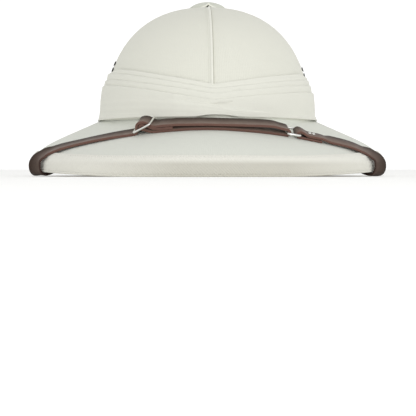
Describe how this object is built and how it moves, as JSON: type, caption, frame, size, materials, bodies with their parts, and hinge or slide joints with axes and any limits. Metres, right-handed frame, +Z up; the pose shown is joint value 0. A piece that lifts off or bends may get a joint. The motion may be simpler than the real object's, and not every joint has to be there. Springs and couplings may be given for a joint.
{
  "type": "pith helmet",
  "caption": "Cloth-covered pith helmet with a pleated puggaree, a ventilator cap, side vent eyelets and a leather chin strap worn up over the front brim.",
  "frame": {"origin": "centre of the hat in plan, at the level its brim stands on", "axes": "+Z up through the crown; the front seam and the strap's middle face -Y; +X across the hat, towards its left side as worn"},
  "size_m": [0.326, 0.355, 0.1623],
  "materials": {
    "pith": "bare moulded pith, matt tan, seen only inside",
    "cover_cloth": "off-white cotton drill, matt, fine weave",
    "binding_cloth": "off-white cotton twill binding with a stitched edge",
    "puggaree_cloth": "off-white pleated cotton, matt",
    "strap_leather": "smooth dark brown leather with a soft sheen and raw reddish edges",
    "fitting_metal": "bright nickel-plated steel wire",
    "eyelet_metal": "dark oxidised eyelets"
  },
  "bodies": {
    "root": {"shell": "pith", "crown_cover": "cover_cloth", "brim_cover": "cover_cloth", "brim_binding": "binding_cloth", "puggaree_pleat_1": "puggaree_cloth", "puggaree_pleat_2": "puggaree_cloth", "puggaree_pleat_3": "puggaree_cloth", "puggaree_fold": "puggaree_cloth", "seam_piping_front": "cover_cloth", "seam_piping_back": "cover_cloth", "ventilator_cap": "cover_cloth", "vent_eyelet_left_upper": "eyelet_metal", "vent_eyelet_left_lower": "eyelet_metal", "vent_eyelet_right_upper": "eyelet_metal", "vent_eyelet_right_lower": "eyelet_metal", "chin_strap_left": "strap_leather", "chin_strap_right": "strap_leather", "slide_buckle": "fitting_metal", "strap_ring": "fitting_metal", "strap_rivet_1": "fitting_metal", "strap_rivet_2": "fitting_metal", "anchor_pin_left": "fitting_metal", "anchor_pin_right": "fitting_metal"}
  },
  "joints": []
}
